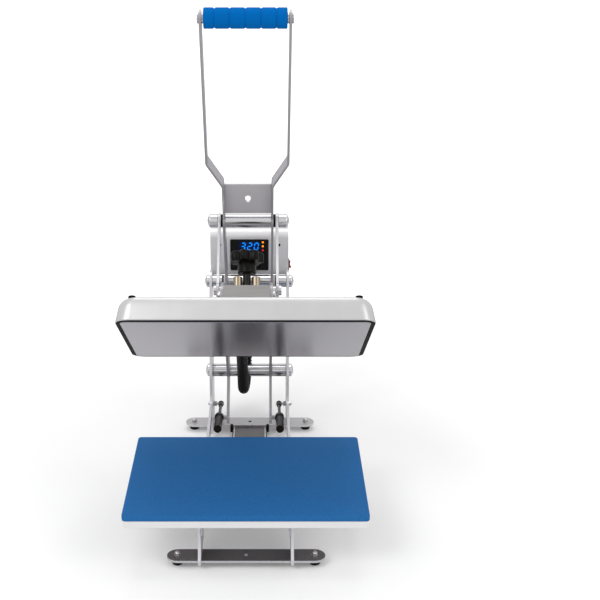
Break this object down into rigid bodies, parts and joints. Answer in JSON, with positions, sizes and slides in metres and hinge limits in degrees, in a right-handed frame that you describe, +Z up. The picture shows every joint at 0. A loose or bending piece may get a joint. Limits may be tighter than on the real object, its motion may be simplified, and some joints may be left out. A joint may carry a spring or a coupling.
{
  "type": "clamshell heat press",
  "caption": "Open clamshell heat press with a flat padded lower platen, a hinged heated platen, a long levered handle, gas struts, a pressure knob and a control box.",
  "frame": {"origin": "centre of the bounding box's footprint, on the table under the feet", "axes": "+X to the right seen from the front, -Y to the front where the user stands, +Z up"},
  "size_m": [0.41, 0.6618, 0.8636],
  "materials": {
    "plate_steel": "semi-gloss silver-grey",
    "dark_steel": "gunmetal, satin",
    "light_steel": "semi-gloss light silver",
    "arm_steel": "mid-grey, satin",
    "chrome": "polished",
    "screw_steel": "bright",
    "rod_steel": "dark, oiled",
    "rubber_black": "matt",
    "pad_blue": "matt silicone",
    "foam_blue": "soft foam",
    "aluminium_plain": "milled",
    "ptfe_plate": "smooth satin, grey-violet",
    "casing_silver": "semi-gloss silver",
    "white_plastic": "matt white",
    "black_plastic": "satin black",
    "black_gloss": "gloss black",
    "window_blue": "dark blue window",
    "lamp_orange": "lit lamp",
    "red_plastic": "gloss red",
    "brass": "bright",
    "board_green": "solder mask",
    "insulation_wool": "mineral wool board"
  },
  "bodies": {
    "base": {"side_plate_left": "plate_steel", "side_plate_right": "plate_steel", "front_foot_bar": "dark_steel", "rear_foot_bar": "light_steel", "rubber_feet": "rubber_black", "foot_screws": "screw_steel", "base_tongue": "dark_steel", "stop_bumpers": "rubber_black", "lower_platen": "aluminium_plain", "silicone_pad": "pad_blue", "platen_brackets": "light_steel", "hinge_shafts": "chrome", "shaft_spacers": "chrome", "dome_nuts": "chrome", "ball_studs": "screw_steel", "box_bracket": "light_steel", "control_box_shell": "casing_silver", "control_box_back": "casing_silver", "control_panel": "black_gloss", "display_window": "window_blue", "indicator_lamps": "lamp_orange", "rocker_frame": "black_plastic", "mains_inlet": "black_plastic", "controller_board": "board_green", "box_screws": "black_plastic", "conduit_gland_box": "black_plastic", "conduit": "black_plastic"},
    "arm": {"arm_plate_left": "arm_steel", "arm_plate_right": "arm_steel", "arm_centre_sleeve": "chrome", "nut_block": "light_steel", "guide_bushes": "brass", "block_bolts": "screw_steel"},
    "platen": {"upper_casing": "casing_silver", "casing_caps": "black_plastic", "gasket": "rubber_black", "heated_plate": "ptfe_plate", "heating_element": "rod_steel", "insulation": "insulation_wool", "float_plate": "light_steel", "conduit_gland_heater": "black_plastic"},
    "knob": {"pressure_screw": "rod_steel", "pressure_knob": "black_plastic"},
    "handle": {"handle_bar_left": "arm_steel", "handle_bar_right": "arm_steel", "yoke_plate": "arm_steel", "handle_sleeves": "chrome", "link_shaft": "chrome", "lever_bushes": "white_plastic", "pivot_washers": "rubber_black", "grip_rod": "screw_steel", "foam_grip": "foam_blue"},
    "links": {"links": "light_steel", "link_pins": "chrome"},
    "strut_rods": {"strut_rods": "rod_steel"},
    "strut_tubes": {"strut_tubes": "black_plastic"},
    "button_set": {"button_set": "black_plastic"},
    "button_up": {"button_up": "black_plastic"},
    "button_down": {"button_down": "black_plastic"},
    "power_rocker": {"power_rocker": "red_plastic"}
  },
  "joints": [
    {"name": "arm_hinge", "type": "hinge", "parent": "base", "child": "arm", "pos_m": [0, 0.20285, 0.128], "axis": [1, 0, 0], "range_deg": [0, 33.6], "stiffness_Nm_per_rad": 20, "springref_deg": -114.59, "deforming": ["conduit"]},
    {"name": "handle_hinge", "type": "hinge", "parent": "base", "child": "handle", "pos_m": [0, 0.22385, 0.308], "axis": [1, 0, 0], "range_deg": [0, 67.97]},
    {"name": "link_hinge", "type": "hinge", "parent": "handle", "child": "links", "pos_m": [0, 0.1141, 0.46187], "axis": [1, 0, 0], "range_deg": [-87.21, 0]},
    {"name": "strut_hinge", "type": "hinge", "parent": "base", "child": "strut_rods", "pos_m": [0, 0.23285, 0.0407], "axis": [1, 0, 0], "range_deg": [0, 21.53]},
    {"name": "strut_slide", "type": "slide", "parent": "strut_rods", "child": "strut_tubes", "axis": [0, -0.9867, 0.1625], "range_m": [-0.05126, 0]},
    {"name": "platen_slide", "type": "slide", "parent": "arm", "child": "platen", "axis": [0, 0.5534, 0.8329], "range_m": [0, 0.004]},
    {"name": "pressure_knob_turn", "type": "hinge", "parent": "platen", "child": "knob", "pos_m": [0, -0.11411, 0.36056], "axis": [0, 0.5534, 0.8329], "range_deg": [0, 720.01]},
    {"name": "set_button_slide", "type": "slide", "parent": "base", "child": "button_set", "axis": [0, 1, 0], "range_m": [0, 0.0008], "stiffness_N_per_m": 600},
    {"name": "up_button_slide", "type": "slide", "parent": "base", "child": "button_up", "axis": [0, 1, 0], "range_m": [0, 0.0008], "stiffness_N_per_m": 600},
    {"name": "down_button_slide", "type": "slide", "parent": "base", "child": "button_down", "axis": [0, 1, 0], "range_m": [0, 0.0008], "stiffness_N_per_m": 600},
    {"name": "power_rocker_tilt", "type": "hinge", "parent": "base", "child": "power_rocker", "pos_m": [0.0738, 0.26885, 0.3275], "axis": [0, 1, 0], "range_deg": [0, 12]}
  ],
  "couplings": [
    {"joint": "handle_hinge", "follows": "arm_hinge", "ratio": 2.0226},
    {"joint": "link_hinge", "follows": "arm_hinge", "ratio": -2.5952},
    {"joint": "strut_hinge", "follows": "arm_hinge", "ratio": 0.64042},
    {"joint": "strut_slide", "follows": "arm_hinge", "m_per_rad": -0.087238},
    {"joint": "pressure_knob_turn", "follows": "platen_slide", "rad_per_m": 3141.6}
  ]
}
